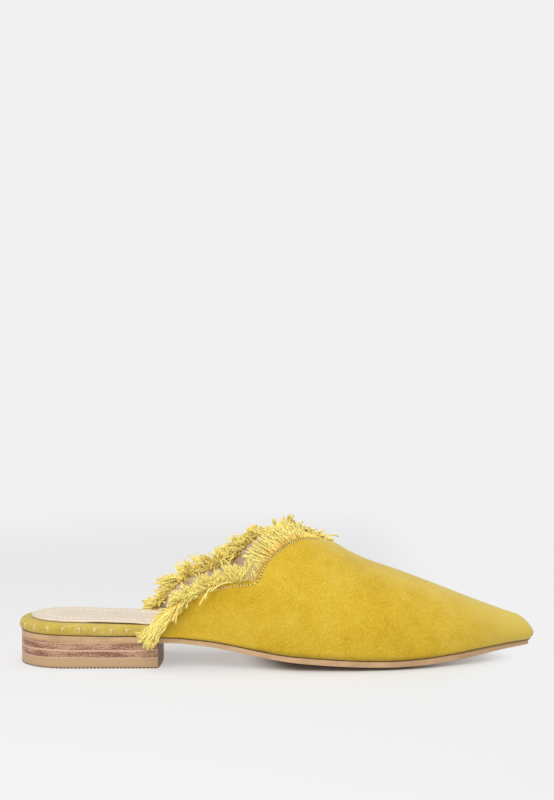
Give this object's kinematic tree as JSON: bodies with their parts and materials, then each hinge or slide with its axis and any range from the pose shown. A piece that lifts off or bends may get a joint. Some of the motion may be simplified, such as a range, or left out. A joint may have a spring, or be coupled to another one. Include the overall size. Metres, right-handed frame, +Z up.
{
  "type": "babouche_slipper",
  "caption": "Flat pointed suede mule with an open heel, a frayed thread fringe round the collar, a thin leather sole and a low stacked heel",
  "frame": {"origin": "on the floor, under the centre of the round heel", "axes": "+X towards the toe, +Y towards the inner (medial) side of the foot, +Z up"},
  "size_m": [0.2713, 0.0778, 0.0738],
  "materials": {
    "suede": "golden yellow suede with a soft matte nap",
    "thread": "pale yellow cotton threads, frayed and matte",
    "sole_leather": "smooth tan sole leather with a waxed edge",
    "stacked_leather": "burnished brown stacked leather",
    "top_lift_rubber": "plain tan rubber, satin",
    "tread_rubber": "dark serrated rubber, matte",
    "sock_leather": "smooth beige lining leather, low sheen"
  },
  "bodies": {
    "root": {"outsole": "sole_leather", "footbed": "suede", "insole": "sock_leather", "upper": "suede", "fringe": "thread", "heel_lift_upper": "stacked_leather", "heel_lift_lower": "stacked_leather", "top_lift": "top_lift_rubber", "heel_tread": "tread_rubber"}
  },
  "joints": []
}
